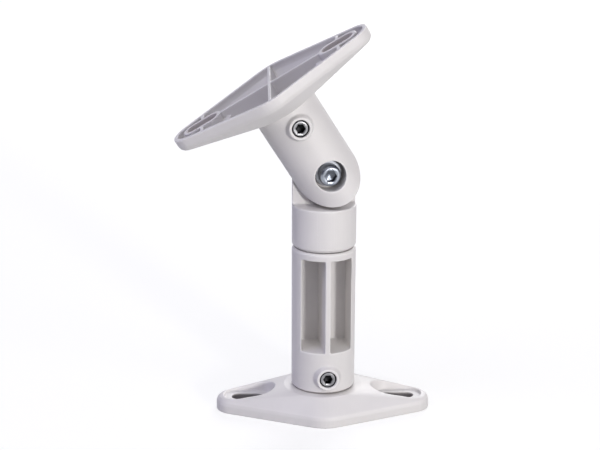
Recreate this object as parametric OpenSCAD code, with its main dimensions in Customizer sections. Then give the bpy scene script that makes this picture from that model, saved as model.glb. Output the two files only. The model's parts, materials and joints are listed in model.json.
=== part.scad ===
// Tilt-and-swivel bracket: two ribbed diamond plates, a post and a half-lap knuckle.
// Origin: centre of the base plate's seating face. +Z up, base plate long axis along X.

/* [Plates] */
// Length of each diamond plate from tip to tip
plate_len = 101.8; // [80:0.2:140]
// Width of each diamond plate across its blunt corners
plate_wid = 55; // [46:0.5:80]
// Rounding radius at the two tips
tip_r = 9.6; // [8:0.2:14]
// Rounding radius at the two blunt corners
corner_r = 15; // [12:0.5:25]
// Height of the rim
rim_h = 6.7; // [5:0.1:9]
// Rounding around the top of the rim
rim_soft = 3; // [1:0.25:4]
// Height from the seating face to the flat neck
plate_h = 12; // [10:0.5:18]
// Step of the flat neck outside the post's radius
neck_step = 3.6; // [0:0.1:6]
// Wall thickness of the moulded shell
plate_wall = 2; // [1.6:0.1:3]
// Thickness of the stiffening ribs
rib_t = 1.6; // [1.2:0.1:2.4]
// Distance between the two slot centres
slot_pitch = 71.6; // [60:0.2:90]
// Slot width
slot_w = 7; // [4:0.2:8]
// Slot length from end to end
slot_len = 15.6; // [10:0.2:20]
// Wall around each slot
slot_wall = 2; // [1.6:0.1:3]
// Height of the screw seat above the seating face
seat_h = 5.5; // [3.5:0.1:6]
// Width of the screw seat around the slot
seat_margin = 3.4; // [2:0.1:4]
// Draft of the wall above the screw seat, in degrees
seat_draft = 18; // [2:1:25]

/* [Tube and post] */
// Outer radius of the post, collar and arm
tube_r = 15; // [14:0.5:20]
// Length of the post between its two shoulders
post_len = 68.4; // [50:0.2:140]
// Bevel on the ends of the post and the arm
edge_bevel = 0.8; // [0.3:0.1:1.2]
// Bevel on the lower edge of the collar
collar_bevel = 1.4; // [0.5:0.1:2]
// Bevel on the shoulders beside the lap
lap_bevel = 0.3; // [0.2:0.1:0.8]
// Lower edge of the pockets above the post's foot
pocket_z0 = 19.9; // [18:0.1:30]
// Height of the pockets
pocket_h = 44.9; // [25:0.1:100]
// Thickness of the post beside the pockets, measured across at its front
pocket_side = 3.2; // [3:0.1:6]
// Wall behind the back corners of the pockets, before their draft
post_wall = 1.8; // [1.6:0.1:4]
// Thickness of the rib between the pockets at its front edge
post_rib = 2.5; // [2:0.1:7]
// Draft of the pocket walls, in degrees
pocket_draft = 1; // [0:0.25:3]

/* [Swivels] */
// Radius of the turned spigots
spigot_r = 10.8; // [9:0.1:11.5]
// Height of the spigots
spigot_h = 15.5; // [14:0.1:18]
// Bevel at the end of the spigots
spigot_bevel = 0.8; // [0.4:0.1:1.5]
// Radius at the bottom of the clamp groove
groove_r = 8.5; // [7.5:0.1:9]
// Width of the clamp groove
groove_w = 9.6; // [9:0.1:10.2]
// Height of the groove centre above the spigot's shoulder
groove_z = 8.6; // [8:0.1:9]
// Radius of the bore that hollows each plate spigot
spigot_bore = 6.2; // [4:0.1:6.5]
// Closed thickness at the end of the spigot
spigot_cap = 2; // [1.5:0.1:3]
// Radial clearance of turning fits
turn_fit = 0.08; // [0.04:0.01:0.1]
// Gap between the end faces of pieces that turn against each other
face_gap = 0.3; // [0.2:0.05:0.5]
// Depth of the sockets beyond the end of a spigot
socket_room = 0.4; // [0.2:0.1:1]

/* [Clamp screws] */
// Radius of the clamp screws
screw_r = 4; // [3:0.25:4]
// Sink of a clamp screw's outer end below its boss face
screw_sink = 0.7; // [0.3:0.1:1.5]
// Radial clearance of the clamp screws in their bosses
thread_fit = 0.02; // [0.01:0.01:0.05]
// Clear room between a screw's tip and the groove
tip_room = 0.3; // [0.2:0.05:0.5]
// Width across flats of the clamp screw's socket
screw_key = 4; // [2.5:0.5:4]
// Depth of the clamp screw's socket
screw_key_d = 3.6; // [2:0.2:4]
// Height of the clamp boss above the tube
boss_rise = 2.5; // [1.5:0.1:4]
// Radius of the clamp boss at its face
boss_top_r = 5.2; // [4.8:0.1:6]
// Radius of the clamp boss at its foot
boss_foot_r = 6.6; // [6:0.1:7.6]
// Depth of the clamp boss's foot inside the tube
boss_root = 2; // [1:0.1:2.5]
// Height of the post's clamp screw above the base plate's neck
post_clamp_z = 8.1; // [8:0.1:9]
// Height of the collar's clamp screw above the post's shoulder
collar_clamp_z = 8.6; // [8:0.1:9]
// Distance of the arm's clamp screw from the device plate's neck
arm_clamp_z = 9.2; // [8:0.1:9.2]

/* [Tilt pivot] */
// Height of the collar
collar_h = 20.2; // [19:0.2:30]
// Distance from the collar's shoulder to the pivot axis
lap_shoulder = 16.3; // [15.5:0.1:21]
// Distance from the pivot axis to the arm's far end
arm_len = 36.4; // [34:0.2:60]
// Gap between the two lap faces
lap_gap = 1; // [0.8:0.1:1.5]
// Radius of the pivot bolt
bolt_r = 3; // [2.5:0.5:3]
// Length of the nut's thread left free beyond the bolt's end
bolt_short = 0.4; // [0:0.1:1]
// Radius of the bolt head
bolt_head_r = 5; // [4.25:0.25:5]
// Height of the bolt head
bolt_head_h = 6; // [5:0.2:6]
// Width across flats of the bolt's socket
bolt_key = 5; // [4:0.5:5]
// Depth of the bolt's socket
bolt_key_d = 3; // [2:0.2:3.6]
// Radius of the round recess for the bolt head
recess_r = 7.2; // [6.8:0.1:8]
// Material left between the recess and the lap plane
recess_floor = 5.5; // [4.5:0.1:6]
// Outer radius of the flat washer
washer_r = 6.2; // [6:0.1:6.5]
// Thickness of the flat washer
washer_t = 1.6; // [1:0.1:1.8]
// Outer radius of the friction washer
friction_r = 11; // [8:0.5:13]
// Width across flats of the nut
nut_key = 10; // [8:0.5:10]
// Thickness of the nut
nut_t = 5; // [4:0.2:5]
// Distance of the nut pocket's floor from the back of the knuckle
nut_sink = 7.5; // [7.5:0.1:9]
// Clearance of the nut across its flats
nut_fit = 0.06; // [0.02:0.01:0.2]

/* [Pose in the photograph] */
// Turn of the post on the base plate
post_turn = 5.4; // [-180:0.1:180]
// Turn of the knuckle about the post's axis
knuckle_turn = 9.3; // [-180:0.1:180]
// Lean of the arm away from upright
tilt = 32.3; // [-90:0.1:90]
// Turn of the device plate about the arm
device_turn = -11.6; // [-180:0.1:180]

/* [Hidden] */
$fn = 96;
eps = 0.01;
over = 1;
white = [0.9, 0.9, 0.89];
steel = [0.45, 0.45, 0.47];
fibre = [0.25, 0.24, 0.23];

// Plate outline: two tip circles and two corner circles joined by their common tangents
tip_x = plate_len / 2 - tip_r;
corner_y = plate_wid / 2 - corner_r;
edge_angle = acos((corner_r - tip_r) / norm([tip_x, corner_y])) - atan2(corner_y, tip_x);
neck_r = tube_r + neck_step;
plate_fn = 48;
soft_step = 30;
slot_x = slot_pitch / 2;
slot_run = slot_len - slot_w;

// Stack of heights up the post
post_z = plate_h + face_gap;
shoulder_z = post_z + post_len;
collar_z = shoulder_z + face_gap;
lap_z = collar_z + collar_h;
pivot_z = lap_z + lap_shoulder;
neck_at = arm_len + face_gap;
face_at = neck_at + plate_h;
socket_depth = spigot_h - face_gap + socket_room;
pocket_half = tube_r - pocket_side;
pocket_back = sqrt(pow(tube_r - post_wall, 2) - pow(pocket_half, 2));
pocket_taper = (tube_r + pocket_back) * tan(pocket_draft);
boss_face = tube_r + boss_rise;
screw_tip = groove_r + tip_room;
screw_len = boss_face - screw_sink - screw_tip;
bolt_seat = recess_floor + lap_gap / 2 + face_gap;
head_seat = bolt_seat + washer_t;
nut_floor = tube_r - nut_sink;
bolt_len = head_seat + nut_floor + nut_t - bolt_short;

base_plate();
extension_post();
base_clamp_screw();
lower_knuckle();
swivel_clamp_screw();
pivot_bolt();
pivot_washer();
pivot_nut();
friction_washer();
tilt_arm();
device_clamp_screw();
device_plate();

// Frames of the moving groups

module post_frame() {
    rotate([0, 0, post_turn])
        children();
}

module knuckle_frame() {
    rotate([0, 0, knuckle_turn])
        children();
}

module arm_frame() {
    knuckle_frame()
        translate([0, 0, pivot_z])
            rotate([0, -tilt, 0])
                children();
}

// Points a piece modelled along +Z toward the front, -Y
module toward_front() {
    rotate([90, 0, 0])
        children();
}

// Plate moulding, used for the base and, turned over, for the device

module plate_outline(inset = 0) {
    tip = tip_r - inset;
    corner = corner_r - inset;
    near = [tip_x + tip * cos(edge_angle), tip * sin(edge_angle)];
    far = [corner * cos(edge_angle), corner_y + corner * sin(edge_angle)];
    polygon([
        [near[0], near[1]], [far[0], far[1]], [-far[0], far[1]], [-near[0], near[1]],
        [-near[0], -near[1]], [-far[0], -far[1]], [far[0], -far[1]], [near[0], -near[1]]
    ]);
    for (side = [-1, 1]) {
        translate([side * tip_x, 0])
            circle(r = tip, $fn = plate_fn);
        translate([0, side * corner_y])
            circle(r = corner, $fn = plate_fn);
    }
}

// Lofted form from the diamond rim to the round neck, drawn inward by inset
module plate_form(inset = 0) {
    hull() {
        for (a = [0 : soft_step : 90])
            linear_extrude(height = rim_h - inset - rim_soft * (1 - sin(a)))
                plate_outline(inset + rim_soft * (1 - cos(a)));
        cylinder(r = neck_r - inset, h = plate_h - inset, $fn = plate_fn);
    }
}

// Racetrack prism around a slot, grown by grow on every side
module slot_prism(grow, z0, z1) {
    translate([0, 0, z0]) {
        for (end = [-1, 1])
            translate([end * slot_run / 2, 0, 0])
                cylinder(r = slot_w / 2 + grow, h = z1 - z0);
        translate([-slot_run / 2, -slot_w / 2 - grow, 0])
            cube([slot_run, slot_w + 2 * grow, z1 - z0]);
    }
}

// The same racetrack widening upward, for the recess above the screw seat
module slot_flare(grow, z0, z1) {
    low = slot_w / 2 + grow;
    high = low + (z1 - z0) * tan(seat_draft);
    translate([0, 0, z0]) {
        for (end = [-1, 1])
            translate([end * slot_run / 2, 0, 0])
                cylinder(r1 = low, r2 = high, h = z1 - z0);
        translate([-slot_run / 2, 0, 0])
            rotate([90, 0, 90])
                linear_extrude(height = slot_run)
                    polygon([[-low, 0], [low, 0], [high, z1 - z0], [-high, z1 - z0]]);
    }
}

module at_slots() {
    for (side = [-1, 1])
        translate([side * slot_x, 0, 0])
            children();
}

// Ribs under the shell: along the plate, across its middle, and across each slot
module plate_ribs() {
    translate([-slot_x, -rib_t / 2, 0])
        cube([slot_pitch, rib_t, plate_h]);
    translate([-rib_t / 2, -plate_wid / 2, 0])
        cube([rib_t, plate_wid, plate_h]);
    at_slots()
        translate([-rib_t / 2, -plate_wid / 2, 0])
            cube([rib_t, plate_wid, rim_h]);
}

module spigot_profile() {
    polygon([
        [0, -plate_wall], [spigot_r, -plate_wall], [spigot_r, groove_z - groove_w / 2],
        [groove_r, groove_z - groove_w / 2], [groove_r, groove_z + groove_w / 2],
        [spigot_r, groove_z + groove_w / 2], [spigot_r, spigot_h - spigot_bevel],
        [spigot_r - spigot_bevel, spigot_h], [0, spigot_h]
    ]);
}

module spigot() {
    rotate_extrude()
        spigot_profile();
}

module plate_moulding() {
    difference() {
        union() {
            difference() {
                union() {
                    plate_form();
                    translate([0, 0, plate_h])
                        spigot();
                }
                translate([0, 0, -eps])
                    plate_form(plate_wall);
                translate([0, 0, -over])
                    cylinder(r = spigot_bore, h = plate_h + spigot_h - spigot_cap + over);
            }
            intersection() {
                plate_form();
                union() {
                    plate_ribs();
                    at_slots() {
                        slot_prism(slot_wall, 0, plate_h);
                        slot_flare(seat_margin + plate_wall, seat_h - plate_wall, plate_h);
                    }
                }
            }
        }
        at_slots() {
            slot_flare(seat_margin, seat_h, plate_h);
            slot_prism(0, -over, plate_h);
        }
    }
}

module base_plate() {
    color(white)
        plate_moulding();
}

module device_plate() {
    color(white)
        arm_frame()
            translate([0, 0, face_at])
                rotate([180, 0, device_turn])
                    plate_moulding();
}

// Clamp boss along +Z from the tube's axis, and the screw that runs in it

module clamp_boss() {
    foot = tube_r - boss_root;
    translate([0, 0, foot])
        cylinder(r1 = boss_foot_r, r2 = boss_top_r, h = boss_face - foot);
}

module clamp_bore() {
    cylinder(r = screw_r + thread_fit, h = boss_face + over);
}

module clamp_screw() {
    translate([0, 0, screw_tip])
        difference() {
            cylinder(r = screw_r, h = screw_len);
            translate([0, 0, screw_len - screw_key_d])
                cylinder(d = screw_key / cos(30), h = screw_key_d + over, $fn = 6);
        }
}

// Straight tube from z0 to z1, with its lower and upper edges bevelled
module tube_body(z0, z1, low, high) {
    rotate_extrude()
        polygon([
            [0, z0], [tube_r - low, z0], [tube_r, z0 + low],
            [tube_r, z1 - high], [tube_r - high, z1], [0, z1]
        ]);
}

// The two pockets open to the front, with the rib between them
module post_pockets() {
    for (side = [0, 1])
        mirror([side, 0, 0])
            translate([0, 0, pocket_z0])
                linear_extrude(height = pocket_h)
                    polygon([
                        [post_rib / 2, -tube_r - over], [pocket_half, -tube_r - over],
                        [pocket_half - pocket_taper, pocket_back],
                        [post_rib / 2 + pocket_taper, pocket_back]
                    ]);
}

module post_clamp_place() {
    translate([0, 0, plate_h + post_clamp_z])
        toward_front()
            children();
}

module extension_post() {
    color(white)
        post_frame()
            difference() {
                union() {
                    tube_body(post_z, shoulder_z, edge_bevel, edge_bevel);
                    translate([0, 0, shoulder_z])
                        spigot();
                    post_clamp_place()
                        clamp_boss();
                }
                translate([0, 0, post_z])
                    post_pockets();
                translate([0, 0, post_z - over])
                    cylinder(r = spigot_r + turn_fit, h = socket_depth + over);
                post_clamp_place()
                    clamp_bore();
            }
}

module base_clamp_screw() {
    color(steel)
        post_frame()
            post_clamp_place()
                clamp_screw();
}

// Half-lap knuckle

// Rounded lug half: a half tube that ends in a half round about the pivot axis
module lug_half(side, root) {
    intersection() {
        cylinder(r = tube_r, h = root + tube_r);
        union() {
            cube([2 * tube_r, 4 * tube_r, 2 * root], center = true);
            translate([0, 0, root])
                rotate([90, 0, 0])
                    cylinder(r = tube_r, h = 4 * tube_r, center = true);
        }
        translate([-tube_r, side > 0 ? lap_gap / 2 : -2 * tube_r, 0])
            cube([2 * tube_r, 2 * tube_r - (side > 0 ? 0 : lap_gap / 2), 2 * root + tube_r]);
    }
}

module collar_clamp_place() {
    rotate([0, 0, 180])
        translate([0, 0, shoulder_z + collar_clamp_z])
            toward_front()
                children();
}

module lower_knuckle() {
    color(white)
        knuckle_frame()
            difference() {
                union() {
                    tube_body(collar_z, lap_z, collar_bevel, lap_bevel);
                    translate([0, 0, lap_z - lap_bevel])
                        lug_half(1, lap_shoulder + lap_bevel);
                    collar_clamp_place()
                        clamp_boss();
                }
                translate([0, 0, collar_z - over])
                    cylinder(r = spigot_r + turn_fit, h = socket_depth + over);
                collar_clamp_place()
                    clamp_bore();
                translate([0, 0, pivot_z])
                    rotate([-90, 0, 0]) {
                        cylinder(r = bolt_r + turn_fit, h = tube_r + over);
                        translate([0, 0, nut_floor])
                            cylinder(d = (nut_key + 2 * nut_fit) / cos(30), h = tube_r, $fn = 6);
                    }
            }
}

module swivel_clamp_screw() {
    color(steel)
        knuckle_frame()
            collar_clamp_place()
                clamp_screw();
}

// Pieces along the pivot axis, drawn with +Z toward the front of the knuckle
module pivot_place() {
    knuckle_frame()
        translate([0, 0, pivot_z])
            toward_front()
                children();
}

module pivot_bolt() {
    color(steel)
        pivot_place()
            difference() {
                union() {
                    translate([0, 0, head_seat - bolt_len])
                        cylinder(r = bolt_r, h = bolt_len + eps);
                    translate([0, 0, head_seat])
                        cylinder(r = bolt_head_r, h = bolt_head_h);
                }
                translate([0, 0, head_seat + bolt_head_h - bolt_key_d])
                    cylinder(d = bolt_key / cos(30), h = bolt_key_d + over, $fn = 6);
            }
}

module pivot_washer() {
    color(steel)
        pivot_place()
            translate([0, 0, bolt_seat])
                difference() {
                    cylinder(r = washer_r, h = washer_t);
                    translate([0, 0, -over])
                        cylinder(r = bolt_r + thread_fit, h = washer_t + 2 * over);
                }
}

module pivot_nut() {
    color(steel)
        pivot_place()
            translate([0, 0, -nut_floor - nut_t])
                difference() {
                    cylinder(d = nut_key / cos(30), h = nut_t, $fn = 6);
                    translate([0, 0, -over])
                        cylinder(r = bolt_r + thread_fit, h = nut_t + 2 * over);
                }
}

module friction_washer() {
    color(fibre)
        pivot_place()
            translate([0, 0, -lap_gap / 2])
                difference() {
                    cylinder(r = friction_r, h = lap_gap - face_gap);
                    translate([0, 0, -over])
                        cylinder(r = bolt_r + thread_fit, h = lap_gap + 2 * over);
                }
}

module arm_clamp_place() {
    translate([0, 0, neck_at - arm_clamp_z])
        toward_front()
            children();
}

module tilt_arm() {
    color(white)
        arm_frame()
            difference() {
                union() {
                    tube_body(lap_shoulder, arm_len, lap_bevel, edge_bevel);
                    rotate([0, 180, 0])
                        translate([0, 0, -lap_shoulder - lap_bevel])
                            lug_half(-1, lap_shoulder + lap_bevel);
                    arm_clamp_place()
                        clamp_boss();
                }
                translate([0, 0, arm_len - socket_depth])
                    cylinder(r = spigot_r + turn_fit, h = socket_depth + over);
                arm_clamp_place()
                    clamp_bore();
                toward_front() {
                    cylinder(r = bolt_r + turn_fit, h = tube_r + over);
                    translate([0, 0, recess_floor + lap_gap / 2])
                        cylinder(r = recess_r, h = tube_r);
                }
            }
}

module device_clamp_screw() {
    color(steel)
        arm_frame()
            arm_clamp_place()
                clamp_screw();
}
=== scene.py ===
"""Looks of the tilt-and-swivel bracket: moulded white plastic, steel screws, studio light."""

import json
import math

import bpy
import numpy as np
from mathutils import Matrix, Vector

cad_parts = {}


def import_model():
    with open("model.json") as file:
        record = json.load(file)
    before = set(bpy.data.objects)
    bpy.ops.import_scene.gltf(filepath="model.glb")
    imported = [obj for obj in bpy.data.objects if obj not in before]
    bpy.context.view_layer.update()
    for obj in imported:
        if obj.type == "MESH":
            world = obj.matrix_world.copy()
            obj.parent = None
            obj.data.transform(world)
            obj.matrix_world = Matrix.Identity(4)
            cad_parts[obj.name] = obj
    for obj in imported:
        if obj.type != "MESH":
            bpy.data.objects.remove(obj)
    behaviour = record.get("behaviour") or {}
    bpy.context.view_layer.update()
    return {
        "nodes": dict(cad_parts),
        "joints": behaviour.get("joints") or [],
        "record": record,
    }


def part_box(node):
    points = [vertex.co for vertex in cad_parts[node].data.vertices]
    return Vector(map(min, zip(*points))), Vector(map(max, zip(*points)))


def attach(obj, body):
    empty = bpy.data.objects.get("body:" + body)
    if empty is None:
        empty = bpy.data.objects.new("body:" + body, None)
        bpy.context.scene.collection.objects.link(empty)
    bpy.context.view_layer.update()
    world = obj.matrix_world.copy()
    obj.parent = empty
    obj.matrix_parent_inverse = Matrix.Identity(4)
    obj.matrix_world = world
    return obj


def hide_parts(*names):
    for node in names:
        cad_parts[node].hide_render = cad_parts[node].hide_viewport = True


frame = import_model()

MM = 0.001

# Camera, solved from the photograph's edges: focal length in pixels of its width, angles in degrees
PHOTO_WIDTH_PX = 600
FOCAL_PX = 1566.7
CAMERA_AT = Vector((-37.6, -700.1, 292.7)) * MM
CAMERA_AZIMUTH = -2.16
CAMERA_PITCH = 16.08
CAMERA_ROLL = 0.22

# Moulded pieces: CAD node, the body it rides on, voxel size in mm, smoothing steps that round its edges
MOULDINGS = {
    "base_plate": ("base", 0.3, 3),
    "extension_post": ("post", 0.3, 4),
    "lower_knuckle": ("knuckle", 0.3, 3),
    "tilt_arm": ("arm", 0.3, 5),
    "device_plate": ("head", 0.3, 3),
}
# Share of the faces that is kept after the rounding
KEEP_FACES = 0.25

# Set screws: CAD node, the body it rides on
SET_SCREWS = {
    "base_clamp_screw": "post",
    "swivel_clamp_screw": "knuckle",
    "device_clamp_screw": "arm",
}


# Materials


def new_material(name):
    material = bpy.data.materials.new(name)
    material.use_nodes = True
    nodes = material.node_tree.nodes
    return material, nodes, material.node_tree.links, nodes["Principled BSDF"]


def add_noise(nodes, links, coords, scale, detail=4.0, roughness=0.55):
    noise = nodes.new("ShaderNodeTexNoise")
    noise.inputs["Scale"].default_value = scale
    noise.inputs["Detail"].default_value = detail
    noise.inputs["Roughness"].default_value = roughness
    links.new(coords, noise.inputs["Vector"])
    return noise


def add_ramp(nodes, links, value, stops):
    ramp = nodes.new("ShaderNodeValToRGB")
    elements = ramp.color_ramp.elements
    while len(elements) < len(stops):
        elements.new(0.5)
    for element, (place, colour) in zip(elements, stops):
        element.position = place
        element.color = (*colour, 1.0)
    links.new(value, ramp.inputs["Fac"])
    return ramp


def grey(level):
    return (level, level, level)


def math_step(nodes, links, operation, value, other):
    """Maths on a value and a number or another value."""
    step = nodes.new("ShaderNodeMath")
    step.operation = operation
    links.new(value, step.inputs[0])
    if isinstance(other, float):
        step.inputs[1].default_value = other
    else:
        links.new(other, step.inputs[1])
    return step.outputs[0]


def times(nodes, links, value, other):
    return math_step(nodes, links, "MULTIPLY", value, other)


def larger(nodes, links, value, other):
    return math_step(nodes, links, "MAXIMUM", value, other)


def multiply(nodes, links, colour, other):
    product = nodes.new("ShaderNodeMix")
    product.data_type = "RGBA"
    product.blend_type = "MULTIPLY"
    product.inputs["Factor"].default_value = 1.0
    links.new(colour, product.inputs["A"])
    links.new(other, product.inputs["B"])
    return product.outputs["Result"]


def vector_step(nodes, links, operation, vector, other=None):
    """Vector maths on a vector and a constant one."""
    step = nodes.new("ShaderNodeVectorMath")
    step.operation = operation
    links.new(vector, step.inputs[0])
    if other:
        step.inputs[1].default_value = other
    return step.outputs["Value" if operation in ("LENGTH", "DOT_PRODUCT") else "Vector"]


def fade(nodes, links, value, start, end, low=0.0, high=1.0):
    """Factor from low where the value is start to high where it is end."""
    part = nodes.new("ShaderNodeMapRange")
    part.inputs["From Min"].default_value = start
    part.inputs["From Max"].default_value = end
    part.inputs["To Min"].default_value = low
    part.inputs["To Max"].default_value = high
    links.new(value, part.inputs["Value"])
    return part.outputs["Result"]


def add_bump(nodes, links, height, strength, distance, normal=None):
    bump = nodes.new("ShaderNodeBump")
    bump.inputs["Strength"].default_value = strength
    bump.inputs["Distance"].default_value = distance
    links.new(height, bump.inputs["Height"])
    if normal:
        links.new(normal, bump.inputs["Normal"])
    return bump.outputs["Normal"]


# Screw slots of both plates: distance from the middle, width and straight run, taken from the mount of
# the base slots, and height of the seat
SLOTS = next(m for m in frame["record"]["mounts"] if m["name"] == "base_slots")["dims"]
SLOT_X = SLOTS["spacing_x_mm"] / 2 * MM
SLOT_W = SLOTS["hole_r_mm"] * 2 * MM
SLOT_RUN = SLOTS["slot_length_mm"] * MM - SLOT_W
SEAT_H = 5.5 * MM
# The painted shade on the slot walls fades out between these distances outside the wall, and over this
# height below the seat
SLOT_SHADE_FULL = 0.25 * MM
SLOT_SHADE_END = 0.7 * MM
SLOT_SHADE_FADE = 1.0 * MM


def slot_place(nodes, links, coords):
    """Factor of 1 on the walls of a plate's two screw slots, in the plate's own frame, where painted shade
    darkens them.
    """
    side = vector_step(nodes, links, "ABSOLUTE", coords)
    middle = vector_step(nodes, links, "SUBTRACT", side, (SLOT_X, 0.0, 0.0))
    reach = vector_step(nodes, links, "ABSOLUTE", middle)
    past = vector_step(nodes, links, "SUBTRACT", reach, (SLOT_RUN / 2, 0.0, 0.0))
    clear = vector_step(nodes, links, "MAXIMUM", past, (0.0, 0.0, 0.0))
    level = vector_step(nodes, links, "MULTIPLY", clear, (1.0, 1.0, 0.0))
    radius = vector_step(nodes, links, "LENGTH", level)
    height = nodes.new("ShaderNodeSeparateXYZ")
    links.new(coords, height.inputs[0])
    inside = fade(nodes, links, radius, SLOT_W / 2 + SLOT_SHADE_END, SLOT_W / 2 + SLOT_SHADE_FULL)
    sunk = fade(nodes, links, height.outputs["Z"], SEAT_H, SEAT_H - SLOT_SHADE_FADE)
    return times(nodes, links, inside, sunk)


# Plastic: relief on flat faces, reach of the painted shade in gaps, then noise scales per metre
RELIEF_FLAT = 0.35
GAP_REACH = 5.0 * MM
FLOW_SCALE = 38.0
SHEEN_SCALE = 150.0
SPARK_SCALE = 2200.0
WAVE_SCALE = 60.0


def moulded_plastic(name, slot_shade=None):
    """Off-white satin plastic: faint flow marks, fine spark, painted highlight on outer edges, painted
    shade in corners, gaps and slots.
    """
    material, nodes, links, shader = new_material(name)
    coords = nodes.new("ShaderNodeTexCoord").outputs["Object"]

    flow = add_noise(nodes, links, coords, FLOW_SCALE, 3.0)
    tint = add_ramp(
        nodes,
        links,
        flow.outputs["Fac"],
        [(0.3, (0.735, 0.715, 0.705)), (0.7, (0.785, 0.765, 0.752))],
    )
    # Painted highlight on outer edges and painted shade in inner corners, read from the bend of the surface
    relief = nodes.new("ShaderNodeAttribute")
    relief.attribute_name = "relief"
    corner = add_ramp(
        nodes,
        links,
        relief.outputs["Fac"],
        [(0.0, grey(1.12)), (RELIEF_FLAT, grey(1.0)), (0.6, grey(0.95)), (1.0, (0.74, 0.72, 0.7))],
    )
    # Painted shade: darker where other surfaces are near, in corners, recesses and gaps between parts
    gap = nodes.new("ShaderNodeAmbientOcclusion")
    gap.samples = 8
    gap.inputs["Distance"].default_value = GAP_REACH
    gap_shade = add_ramp(
        nodes,
        links,
        gap.outputs["AO"],
        [(0.05, (0.62, 0.59, 0.58)), (0.35, grey(0.92)), (0.6, grey(1.0))],
    )
    flow_tone_and_painted_light = multiply(nodes, links, tint.outputs["Color"], corner.outputs["Color"])
    flow_tone_and_painted_light = multiply(nodes, links, flow_tone_and_painted_light, gap_shade.outputs["Color"])
    # Painted shade down the walls of the screw slots, in the colour given
    if slot_shade:
        wall = slot_place(nodes, links, coords)
        slot_shading = add_ramp(nodes, links, wall, [(0.0, grey(1.0)), (1.0, slot_shade)])
        flow_tone_and_painted_light = multiply(nodes, links, flow_tone_and_painted_light, slot_shading.outputs["Color"])
    links.new(flow_tone_and_painted_light, shader.inputs["Base Color"])

    sheen = add_noise(nodes, links, coords, SHEEN_SCALE, 5.0, 0.6)
    rough = add_ramp(nodes, links, sheen.outputs["Fac"], [(0.3, grey(0.4)), (0.75, grey(0.52))])
    links.new(rough.outputs["Color"], shader.inputs["Roughness"])

    spark = add_noise(nodes, links, coords, SPARK_SCALE, 3.0, 0.6)
    waves = add_noise(nodes, links, coords, WAVE_SCALE, 2.0, 0.4)
    fine = add_bump(nodes, links, spark.outputs["Fac"], 0.12, 0.05 * MM)
    broad = add_bump(nodes, links, waves.outputs["Fac"], 0.25, 0.15 * MM, fine)
    links.new(broad, shader.inputs["Normal"])
    shader.inputs["Specular IOR Level"].default_value = 0.45
    return material


# Painted shade on a screw: depths below its end where it starts and is full, reach past the socket's
# corners, width of its outer edge
SOCKET_SHADE_START = 0.2 * MM
SOCKET_SHADE_FULL = 1.3 * MM
SOCKET_SHADE_MARGIN = 0.2 * MM
SOCKET_SHADE_EDGE = 0.15 * MM


def socket_shade_place(nodes, links, coords, top, reach, edge):
    """Factor from 0 on a screw's end, at height top, to 1 down its socket and outside the edge, where
    painted shade goes.
    """
    flat = vector_step(nodes, links, "MULTIPLY", coords, (1.0, 1.0, 0.0))
    radius = vector_step(nodes, links, "LENGTH", flat)
    inside = math_step(nodes, links, "LESS_THAN", radius, reach)
    height = nodes.new("ShaderNodeSeparateXYZ")
    links.new(coords, height.inputs[0])
    sunk = fade(nodes, links, height.outputs["Z"], top - SOCKET_SHADE_START, top - SOCKET_SHADE_FULL)
    outside = fade(nodes, links, radius, edge, edge + SOCKET_SHADE_EDGE)
    return larger(nodes, links, times(nodes, links, inside, sunk), outside)


# Steel and fibre: ring and noise scales per metre, colours of painted shade, black for a set screw's socket
# and dull for the bolt's socket
TURNING_SCALE = 900.0
PLATING_SCALE = 420.0
FLECK_SCALE = 1400.0
BLACK_SHADE = (0.012, 0.012, 0.013)
DULL_SHADE = (0.105, 0.115, 0.135)


def turned_steel(name, dark, light, roughness, shaded_end=None, shade_colour=BLACK_SHADE):
    """Plated screw steel: turning marks, cloudy plating, painted shade down the socket and round the edge
    of an end at (top, reach, edge).
    """
    material, nodes, links, shader = new_material(name)
    coords = nodes.new("ShaderNodeTexCoord").outputs["Object"]
    rings = nodes.new("ShaderNodeTexWave")
    rings.wave_type = "RINGS"
    rings.rings_direction = "Z"
    rings.inputs["Scale"].default_value = TURNING_SCALE
    rings.inputs["Distortion"].default_value = 1.5
    rings.inputs["Detail"].default_value = 3.0
    links.new(coords, rings.inputs["Vector"])
    cloud = add_noise(nodes, links, coords, PLATING_SCALE, 6.0, 0.65)
    tint = add_ramp(nodes, links, cloud.outputs["Fac"], [(0.3, dark), (0.7, light)])
    colour = tint.outputs["Color"]
    # Painted shade: darkens the inside of the socket and the gap round the screw's edge
    if shaded_end:
        socket_shade = nodes.new("ShaderNodeMix")
        socket_shade.data_type = "RGBA"
        socket_shade.inputs["B"].default_value = (*shade_colour, 1.0)
        links.new(socket_shade_place(nodes, links, coords, *shaded_end), socket_shade.inputs["Factor"])
        links.new(colour, socket_shade.inputs["A"])
        colour = socket_shade.outputs["Result"]
    links.new(colour, shader.inputs["Base Color"])
    shader.inputs["Metallic"].default_value = 1.0
    rough = add_ramp(
        nodes,
        links,
        cloud.outputs["Fac"],
        [(0.25, grey(roughness - 0.08)), (0.8, grey(roughness + 0.12))],
    )
    links.new(rough.outputs["Color"], shader.inputs["Roughness"])
    marks = add_bump(nodes, links, rings.outputs["Fac"], 0.2, 0.02 * MM)
    links.new(marks, shader.inputs["Normal"])
    return material


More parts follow.
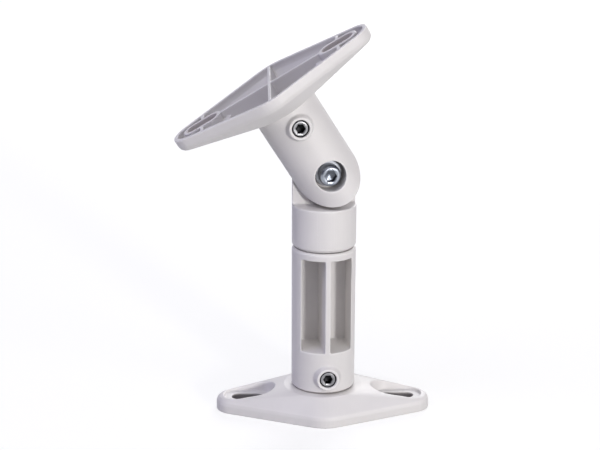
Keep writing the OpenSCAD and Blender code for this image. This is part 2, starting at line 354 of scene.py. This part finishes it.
def pressed_fibre():
    """Dark pressed fibre of the friction washer, flecked and dull."""
    material, nodes, links, shader = new_material("pressed_fibre")
    coords = nodes.new("ShaderNodeTexCoord").outputs["Object"]
    fleck = add_noise(nodes, links, coords, FLECK_SCALE, 6.0, 0.7)
    tint = add_ramp(
        nodes,
        links,
        fleck.outputs["Fac"],
        [(0.35, (0.035, 0.033, 0.031)), (0.65, (0.1, 0.094, 0.088))],
    )
    links.new(tint.outputs["Color"], shader.inputs["Base Color"])
    shader.inputs["Roughness"].default_value = 0.85
    grain = add_bump(nodes, links, fleck.outputs["Fac"], 0.5, 0.05 * MM)
    links.new(grain, shader.inputs["Normal"])
    return material


# Moulded pieces: softened copies of the CAD solids


def apply_modifiers(obj):
    """Puts the result of the object's modifiers into its mesh."""
    graph = bpy.context.evaluated_depsgraph_get()
    mesh = bpy.data.meshes.new_from_object(obj.evaluated_get(graph))
    obj.modifiers.clear()
    obj.data = mesh


# Relief: gain on the bend of the surface, rounds of spreading
RELIEF_GAIN = 3.0
RELIEF_ROUNDS = 6


def store_relief(mesh):
    """Vertex attribute from 0 on outer edges to 1 in inner corners, RELIEF_FLAT on flat faces."""
    count = len(mesh.vertices)
    places = np.zeros(count * 3, np.float32)
    mesh.vertices.foreach_get("co", places)
    places = places.reshape(-1, 3)
    normals = np.zeros(count * 3, np.float32)
    mesh.vertices.foreach_get("normal", normals)
    normals = normals.reshape(-1, 3)
    ends = np.zeros(len(mesh.edges) * 2, np.int32)
    mesh.edges.foreach_get("vertices", ends)
    ends = ends.reshape(-1, 2)
    along = places[ends[:, 1]] - places[ends[:, 0]]
    along /= np.linalg.norm(along, axis=1, keepdims=True) + 1e-12
    total = np.zeros(count)
    degree = np.zeros(count)
    for here, sign in ((0, 1.0), (1, -1.0)):
        bend = sign * np.einsum("ij,ij->i", along, normals[ends[:, here]])
        np.add.at(total, ends[:, here], bend)
        np.add.at(degree, ends[:, here], 1.0)
    bend = total / np.maximum(degree, 1.0)
    for _ in range(RELIEF_ROUNDS):
        spread = np.zeros(count)
        np.add.at(spread, ends[:, 0], bend[ends[:, 1]])
        np.add.at(spread, ends[:, 1], bend[ends[:, 0]])
        bend = 0.5 * bend + 0.5 * spread / np.maximum(degree, 1.0)
    relief = np.clip(RELIEF_FLAT + bend * RELIEF_GAIN, 0.0, 1.0).astype(np.float32)
    attribute = mesh.attributes.new("relief", "FLOAT", "POINT")
    attribute.data.foreach_set("value", relief)


def device_frame():
    """Matrix of the device plate's own frame: Z into the plate from its seat, X through both slots."""
    turn = joint("device_turn")
    axis, start = np.array(turn["axis"]), np.array(turn["pos_m"])
    points = np.array([v.co for v in frame["nodes"]["device_plate"].data.vertices]) - start
    heights = points @ axis
    level = points - np.outer(heights, axis)
    along = Vector(np.linalg.svd(level - level.mean(axis=0), full_matrices=False)[2][0])
    inward = Vector(-axis)
    turned = Matrix((along, inward.cross(along), inward)).transposed().to_4x4()
    return Matrix.Translation(start + axis * heights.max()) @ turned


def soften(node, body, voxel, steps, material, own_frame):
    """Replaces a CAD node by a copy in its own frame whose moulded edges are rounded."""
    obj = bpy.data.objects.new(node + "_moulding", frame["nodes"][node].data.copy())
    obj.data.transform(own_frame.inverted())
    obj.matrix_world = own_frame
    bpy.context.scene.collection.objects.link(obj)
    remesh = obj.modifiers.new("remesh", "REMESH")
    remesh.mode = "VOXEL"
    remesh.voxel_size = voxel * MM
    smooth = obj.modifiers.new("smooth", "SMOOTH")
    smooth.factor = 0.5
    smooth.iterations = steps
    apply_modifiers(obj)
    store_relief(obj.data)
    thin = obj.modifiers.new("thin", "DECIMATE")
    thin.ratio = KEEP_FACES
    apply_modifiers(obj)
    obj.data.shade_smooth()
    obj.data.materials.clear()
    place(obj, own_frame, node, body, "white_plastic", material)


# Turned pieces, lofted through rings about their own Z axis


def round_radius(radius):
    return lambda angle: radius


def key_corner(flats):
    """Radius to the corners of a hexagon of that width across flats."""
    return flats / 2 / math.cos(math.pi / 6)


def hex_radius(flats):
    """Radius to a hexagon of that width across flats."""
    sixth = math.pi / 3
    return lambda angle: flats / 2 / math.cos(angle % sixth - sixth / 2)


def knurl_radius(radius, depth, teeth):
    return lambda angle: radius - depth * (0.5 + 0.5 * math.cos(teeth * angle)) ** 2


SHARP_ANGLE = math.radians(32)


def loft(name, rings, steps=96, closed=False):
    """Mesh object through rings of (radius function, height); closed joins the last to the first."""
    vertices = []
    for radius, height in rings:
        for i in range(steps):
            angle = 2 * math.pi * i / steps
            r = radius(angle)
            vertices.append((r * math.cos(angle), r * math.sin(angle), height))
    faces = []
    count = len(rings)
    for k in range(count if closed else count - 1):
        low, high = k * steps, (k + 1) % count * steps
        for i in range(steps):
            j = (i + 1) % steps
            faces.append((low + i, low + j, high + j, high + i))
    if not closed:
        faces.append(tuple(reversed(range(steps))))
        faces.append(tuple(range((count - 1) * steps, count * steps)))
    mesh = bpy.data.meshes.new(name)
    mesh.from_pydata(vertices, [], faces)
    mesh.validate()
    mesh.shade_smooth()
    mesh.set_sharp_from_angle(angle=SHARP_ANGLE)
    obj = bpy.data.objects.new(name, mesh)
    bpy.context.scene.collection.objects.link(obj)
    return obj


def axis_frame(origin, axis):
    """Matrix that puts local Z along axis, with local X as level as it can be."""
    axis = Vector(axis).normalized()
    level = Vector((0, 0, 1)).cross(axis)
    if level.length < 1e-6:
        level = Vector((1, 0, 0))
    level.normalize()
    side = axis.cross(level)
    turn = Matrix((level, side, axis)).transposed().to_4x4()
    return Matrix.Translation(origin) @ turn


def place(obj, matrix, node, body, slot, material):
    obj.data.materials.append(material)
    obj.matrix_world = matrix
    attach(obj, body)
    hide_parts(node)


def joint(name):
    return next(j for j in frame["joints"] if j["name"] == name)


def node_middle(node):
    low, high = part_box(node)
    return (low + high) / 2


def on_pivot(node):
    """Matrix at the middle of a node's reach along the tilt axis, with local Z along that axis."""
    tilt = joint("tilt")
    axis, start = Vector(tilt["axis"]), Vector(tilt["pos_m"])
    reach = [(v.co - start).dot(axis) for v in frame["nodes"][node].data.vertices]
    return axis_frame(start + axis * (min(reach) + max(reach)) / 2, axis)


# Drilled bottom of a socket: radii as shares of the key's width, and depths below the socket
DRILL_SHARE = 0.42
DRILL_STEP = 0.1 * MM
DRILL_TIP_SHARE = 0.05
DRILL_TIP = 0.6 * MM


def hex_socket(flats, top, depth, bevel):
    """Rings of a hexagon socket from its bevelled mouth down to its drilled bottom."""
    wall = hex_radius(flats)
    return [
        (round_radius(key_corner(flats) + bevel), top),
        (wall, top - bevel),
        (wall, top - depth),
        (round_radius(flats * DRILL_SHARE), top - depth - DRILL_STEP),
        (round_radius(flats * DRILL_TIP_SHARE), top - depth - DRILL_TIP),
    ]


# Thread: slope of its flanks, half its flat crest on that slope, rings in one pitch
THREAD_SLOPE = 3.2
THREAD_CREST = 0.3
THREAD_RINGS = 10


def thread_radius(radius, depth, turn):
    """Radius round a screw at a height of that many turns of its thread."""

    def at(angle):
        share = (turn - angle / (2 * math.pi)) % 1.0
        groove = min(max(abs(share - 0.5) * THREAD_SLOPE - THREAD_CREST, 0.0), 1.0)
        return radius - depth * groove

    return at


def thread_rings(radius, depth, pitch, low, high):
    """Helical thread between two heights."""
    count = math.ceil((high - low) / pitch * THREAD_RINGS)
    heights = [low + (high - low) * k / count for k in range(count + 1)]
    return [(thread_radius(radius, depth, (h - low) / pitch), h) for h in heights]


# Set screws: the tip is the inner end, and the shoulder and the rim lead in to the socket
SCREW_R = 4.0 * MM
SCREW_CORE = SCREW_R * 0.83
SCREW_LEN = 8.0 * MM
SCREW_THREAD = 0.6 * MM
SCREW_PITCH = 1.25 * MM
SCREW_END = 0.7 * MM
SCREW_TIP_R = SCREW_CORE * 0.75
SCREW_TIP = 0.3 * MM
SCREW_SHOULDER = 0.65 * MM
SCREW_RIM = 0.1 * MM
SCREW_RIM_DROP = 0.04 * MM
SCREW_KEY = 4.0 * MM
SCREW_KEY_DEPTH = 3.4 * MM
SCREW_KEY_BEVEL = 0.25 * MM


def set_screw(node, body, axis, material):
    """Threaded socket set screw, bevelled at both ends."""
    half = SCREW_LEN / 2
    rings = [
        (round_radius(SCREW_TIP_R), -half),
        (round_radius(SCREW_CORE), -half + SCREW_TIP),
    ]
    rings += thread_rings(SCREW_R, SCREW_THREAD, SCREW_PITCH, -half + SCREW_END, half - SCREW_END)
    rings += [
        (round_radius(SCREW_R), half - SCREW_SHOULDER),
        (round_radius(SCREW_CORE), half - SCREW_RIM_DROP),
        (round_radius(SCREW_CORE - SCREW_RIM), half),
    ]
    rings += hex_socket(SCREW_KEY, half, SCREW_KEY_DEPTH, SCREW_KEY_BEVEL)
    obj = loft(node + "_threaded", rings)
    place(obj, axis_frame(node_middle(node), axis), node, body, "set_screw_steel", material)


# Pivot bolt: the plain shank and the run-out of the thread are measured back from the head
BOLT_R = 3.0 * MM
BOLT_CORE = BOLT_R * 0.84
BOLT_TIP_R = BOLT_R * 0.7
BOLT_TIP = 0.3 * MM
BOLT_LEN = 20.0 * MM
BOLT_THREAD = 0.5 * MM
BOLT_PITCH = 1.0 * MM
BOLT_END = 0.7 * MM
BOLT_PLAIN = 7.5 * MM
BOLT_RUNOUT = 8.0 * MM
BOLT_HEAD_R = 5.0 * MM
BOLT_HEAD = 6.0 * MM
BOLT_HEAD_BEVEL = 0.2 * MM
BOLT_KEY = 5.0 * MM
BOLT_KEY_DEPTH = 3.0 * MM
BOLT_KEY_BEVEL = 0.3 * MM
KNURLS = 48
KNURL_DEPTH = 0.22 * MM
KNURL_START = 0.4 * MM
KNURL_END = 1.5 * MM
# Domed edge of the bolt head: distances in from its side and down from its top, in mm
HEAD_DOME = [(0.12, 1.1), (0.4, 0.55), (0.8, 0.24), (1.2, 0.08), (1.5, 0.0)]


def pivot_bolt(material):
    """Socket head cap screw with a knurled head."""
    tail = -(BOLT_LEN + BOLT_HEAD) / 2
    seat = tail + BOLT_LEN
    top = seat + BOLT_HEAD
    rings = [
        (round_radius(BOLT_TIP_R), tail),
        (round_radius(BOLT_CORE), tail + BOLT_TIP),
    ]
    rings += thread_rings(BOLT_R, BOLT_THREAD, BOLT_PITCH, tail + BOLT_END, seat - BOLT_RUNOUT)
    rings += [(round_radius(BOLT_R), seat - BOLT_PLAIN), (round_radius(BOLT_R), seat)]
    knurl = knurl_radius(BOLT_HEAD_R, KNURL_DEPTH, KNURLS)
    rings += [
        (round_radius(BOLT_HEAD_R - BOLT_HEAD_BEVEL), seat),
        (knurl, seat + KNURL_START),
        (knurl, top - KNURL_END),
    ]
    rings += [(round_radius(BOLT_HEAD_R - inset * MM), top - drop * MM) for inset, drop in HEAD_DOME]
    rings += hex_socket(BOLT_KEY, top, BOLT_KEY_DEPTH, BOLT_KEY_BEVEL)
    obj = loft("pivot_bolt_knurled", rings, steps=KNURLS * 6)
    place(obj, on_pivot("pivot_bolt"), "pivot_bolt", "knuckle", "screw_steel", material)


# Washers: bore radius, outer radius, thickness and roll of the edges
BOLT_PLAY = 0.02 * MM
STEEL_WASHER = (BOLT_R + BOLT_PLAY, 6.2 * MM, 1.6 * MM, 0.2 * MM)
FIBRE_WASHER = (BOLT_R + BOLT_PLAY, 11.0 * MM, 0.7 * MM, 0.08 * MM)
# Share of the roll that is gone halfway round it
ROLL_MIDDLE = 0.3


def flat_ring(name, node, sizes, slot, material):
    """Washer with rolled edges."""
    inner, outer, thick, edge = sizes
    half = thick / 2
    rings = [
        (round_radius(inner), -half + edge),
        (round_radius(inner), half - edge),
        (round_radius(inner + edge), half),
        (round_radius(outer - edge), half),
        (round_radius(outer - edge * ROLL_MIDDLE), half - edge * ROLL_MIDDLE),
        (round_radius(outer), half - edge),
        (round_radius(outer), -half + edge),
        (round_radius(outer - edge), -half),
        (round_radius(inner + edge), -half),
    ]
    obj = loft(name, rings, closed=True)
    place(obj, on_pivot(node), node, "knuckle", slot, material)


# Pivot nut: the corners are turned off in two steps below each face
NUT_KEY = 10.0 * MM
NUT_THICK = 5.0 * MM
NUT_BORE = BOLT_R + BOLT_PLAY
NUT_BEVEL = 0.45 * MM
NUT_FLAT = NUT_KEY / 2 * 0.97
NUT_STEP = 0.3 * MM
NUT_CORNER = 0.62 * MM


def pivot_nut(material):
    """Hexagon nut, bevelled on both faces and at both ends of its bore."""
    half = NUT_THICK / 2
    wall = hex_radius(NUT_KEY)

    def trimmed(reach):
        return lambda angle: min(wall(angle), reach)

    corner = key_corner(NUT_KEY)
    between = (NUT_FLAT + corner) / 2
    rings = [
        (round_radius(NUT_BORE), -half + NUT_BEVEL),
        (round_radius(NUT_BORE), half - NUT_BEVEL),
        (round_radius(NUT_BORE + NUT_BEVEL), half),
        (round_radius(NUT_FLAT), half),
        (trimmed(between), half - NUT_STEP),
        (trimmed(corner), half - NUT_CORNER),
        (trimmed(corner), -half + NUT_CORNER),
        (trimmed(between), -half + NUT_STEP),
        (round_radius(NUT_FLAT), -half),
        (round_radius(NUT_BORE + NUT_BEVEL), -half),
    ]
    obj = loft("pivot_nut_bevelled", rings, closed=True)
    place(obj, on_pivot("pivot_nut"), "pivot_nut", "knuckle", "screw_steel", material)


def dress():
    """Every piece of the bracket with its material."""
    plastic = moulded_plastic("moulded_plastic")
    zinc = turned_steel("zinc_plated_steel", (0.66, 0.68, 0.72), (0.88, 0.9, 0.94), 0.7)
    # The ends below give where painted shade darkens the socket and the gap round the screw's edge
    bolt_end = ((BOLT_LEN + BOLT_HEAD) / 2, key_corner(BOLT_KEY) + SOCKET_SHADE_MARGIN, BOLT_HEAD_R)
    bright = turned_steel("bright_bolt_steel", (0.2, 0.22, 0.25), (0.42, 0.45, 0.5), 0.3, bolt_end, DULL_SHADE)
    screw_end = (SCREW_LEN / 2, key_corner(SCREW_KEY) + SOCKET_SHADE_MARGIN, SCREW_CORE)
    screw = turned_steel("set_screw_steel", (0.2, 0.2, 0.21), (0.4, 0.4, 0.41), 0.36, screw_end)
    # The second colour is painted shade down the slot walls, darker on the base than on the device plate
    base_plastic = moulded_plastic("moulded_plastic_base", (0.34, 0.325, 0.33))
    device_plastic = moulded_plastic("moulded_plastic_device", (0.78, 0.74, 0.75))
    plates = {
        "base_plate": (base_plastic, Matrix.Identity(4)),
        "device_plate": (device_plastic, device_frame()),
    }
    for node, (body, voxel, steps) in MOULDINGS.items():
        material, own_frame = plates.get(node, (plastic, Matrix.Identity(4)))
        soften(node, body, voxel, steps, material, own_frame)
    front = joint("tilt")["axis"]
    for node, body in SET_SCREWS.items():
        middle = node_middle(node)
        upright = node != "device_clamp_screw"
        set_screw(node, body, (middle.x, middle.y, 0) if upright else front, screw)
    pivot_bolt(bright)
    flat_ring("pivot_washer_rolled", "pivot_washer", STEEL_WASHER, "screw_steel", zinc)
    pivot_nut(zinc)
    flat_ring("friction_washer_cut", "friction_washer", FIBRE_WASHER, "fibre", pressed_fibre())


# Stage


def seen_rays(nodes, links):
    """Factors of 1 for rays from the camera, and for rays that come by way of metal or glass."""
    path = nodes.new("ShaderNodeLightPath")
    mirrored = larger(nodes, links, path.outputs["Is Glossy Ray"], path.outputs["Is Transmission Ray"])
    return path.outputs["Is Camera Ray"], mirrored


def clear_of_base(nodes, links):
    """1 on the open floor, 0 under the diamond of the base plate, whose slots look down on it."""
    low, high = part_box("base_plate")
    half = (high - low) / 2
    coords = nodes.new("ShaderNodeTexCoord").outputs["Object"]
    spread = vector_step(nodes, links, "ABSOLUTE", coords)
    reach = vector_step(nodes, links, "DOT_PRODUCT", spread, (1 / half.x, 1 / half.y, 0.0))
    return math_step(nodes, links, "GREATER_THAN", reach, 1.0)


# Floor: half its width in metres, its colour, and the glow that it adds to that for the camera, which
# grows between two distances from the object, in metres, as the light of the lamps falls off
FLOOR_HALF = 6.0
FLOOR_GREY = 0.42
FLOOR_GLOW = 0.67
FAR_GLOW = 1.2
LIT_REACH = 1.0
DIM_REACH = 2.8


def floor():
    """Grey floor with a glow for seen rays only: white where lamps light it, darker in shadow."""
    material, nodes, links, shader = new_material("pale_floor")
    shader.inputs["Base Color"].default_value = (*grey(FLOOR_GREY), 1.0)
    shader.inputs["Roughness"].default_value = 0.9
    shader.inputs["Specular IOR Level"].default_value = 0.1
    shader.inputs["Emission Color"].default_value = (*grey(1.0), 1.0)
    shown = times(nodes, links, larger(nodes, links, *seen_rays(nodes, links)), clear_of_base(nodes, links))
    distance = vector_step(nodes, links, "LENGTH", nodes.new("ShaderNodeTexCoord").outputs["Object"])
    glow = fade(nodes, links, distance, LIT_REACH, DIM_REACH, FLOOR_GLOW, FAR_GLOW)
    links.new(times(nodes, links, shown, glow), shader.inputs["Emission Strength"])
    mesh = bpy.data.meshes.new("floor")
    corners = [(-1, -1), (1, -1), (1, 1), (-1, 1)]
    mesh.from_pydata([(x * FLOOR_HALF, y * FLOOR_HALF, 0) for x, y in corners], [], [(0, 1, 2, 3)])
    mesh.materials.append(material)
    obj = bpy.data.objects.new("floor", mesh)
    bpy.context.scene.collection.objects.link(obj)


# World: its light, and the share of a ray toward the back where the backdrop starts and is full
AMBIENT = (0.155, 0.152, 0.2)
BACKDROP_START = 0.1
BACKDROP_FULL = 0.6


def toward_backdrop(nodes, links):
    """0 for rays into the front of the studio, 1 for rays to the white backdrop behind the object."""
    way = nodes.new("ShaderNodeSeparateXYZ")
    links.new(nodes.new("ShaderNodeTexCoord").outputs["Generated"], way.inputs[0])
    return fade(nodes, links, way.outputs["Y"], BACKDROP_START, BACKDROP_FULL)


def world():
    scene = bpy.context.scene
    scene.world = bpy.data.worlds.new("studio")
    scene.world.use_nodes = True
    nodes, links = scene.world.node_tree.nodes, scene.world.node_tree.links
    ambient = nodes["Background"]
    ambient.inputs["Color"].default_value = (*AMBIENT, 1.0)
    ambient.inputs["Strength"].default_value = 1.0
    white = nodes.new("ShaderNodeBackground")
    white.inputs["Color"].default_value = (*grey(1.0), 1.0)
    direct, mirrored = seen_rays(nodes, links)
    backdrop = times(nodes, links, mirrored, toward_backdrop(nodes, links))
    mix = nodes.new("ShaderNodeMixShader")
    links.new(larger(nodes, links, direct, backdrop), mix.inputs["Fac"])
    links.new(ambient.outputs["Background"], mix.inputs[1])
    links.new(white.outputs["Background"], mix.inputs[2])
    links.new(mix.outputs["Shader"], nodes["World Output"].inputs["Surface"])


def area_light(name, at, aim, size, power, colour):
    data = bpy.data.lights.new(name, "AREA")
    data.shape = "DISK"
    data.size = size
    data.energy = power
    data.color = colour
    obj = bpy.data.objects.new(name, data)
    obj.location = at
    obj.rotation_euler = (Vector(aim) - Vector(at)).to_track_quat("-Z", "Y").to_euler()
    bpy.context.scene.collection.objects.link(obj)


LAMP_AIM = (0, 0, 0.1)
LAMP_DISTANCE = 1.4


def lamp_place(azimuth, elevation, distance):
    """Place of a lamp seen from the object; azimuth 0 is the camera's side, positive to its right."""
    a, e = math.radians(azimuth), math.radians(elevation)
    way = Vector((math.sin(a) * math.cos(e), -math.cos(a) * math.cos(e), math.sin(e)))
    return Vector(LAMP_AIM) + way * distance


# Lamps: azimuth and elevation in degrees, size in metres, power in watts, colour
LAMPS = {
    "key": (25, 8, 0.16, 9.4, (1.0, 0.985, 0.975)),
    "side": (52, 14, 0.6, 3.0, (1.0, 0.98, 0.93)),
    "left": (-65, 46, 0.8, 4.3, (0.76, 0.77, 1.0)),
    "low_left": (-80, 8, 0.4, 0.9, (0.6, 0.52, 1.0)),
    "top": (-20, 62, 0.9, 4.0, (1.0, 0.98, 0.9)),
    "back": (165, 26, 0.9, 9.5, (1.0, 1.0, 1.0)),
}


def lights():
    for name, (azimuth, elevation, size, power, colour) in LAMPS.items():
        at = lamp_place(azimuth, elevation, LAMP_DISTANCE)
        area_light(name, at, LAMP_AIM, size, power, colour)


def camera():
    data = bpy.data.cameras.new("camera")
    data.sensor_fit = "HORIZONTAL"
    data.sensor_width = 36.0
    data.lens = data.sensor_width * FOCAL_PX / PHOTO_WIDTH_PX
    data.clip_start = 0.01
    obj = bpy.data.objects.new("camera", data)
    turn = Matrix.Rotation(math.radians(CAMERA_AZIMUTH), 4, "Z")
    pitch = Matrix.Rotation(math.radians(90 - CAMERA_PITCH), 4, "X")
    roll = Matrix.Rotation(math.radians(CAMERA_ROLL), 4, "Z")
    obj.matrix_world = Matrix.Translation(CAMERA_AT) @ turn @ pitch @ roll
    bpy.context.scene.collection.objects.link(obj)
    bpy.context.scene.camera = obj


bpy.context.scene.view_settings.view_transform = "Standard"
camera()
dress()
floor()
world()
lights()
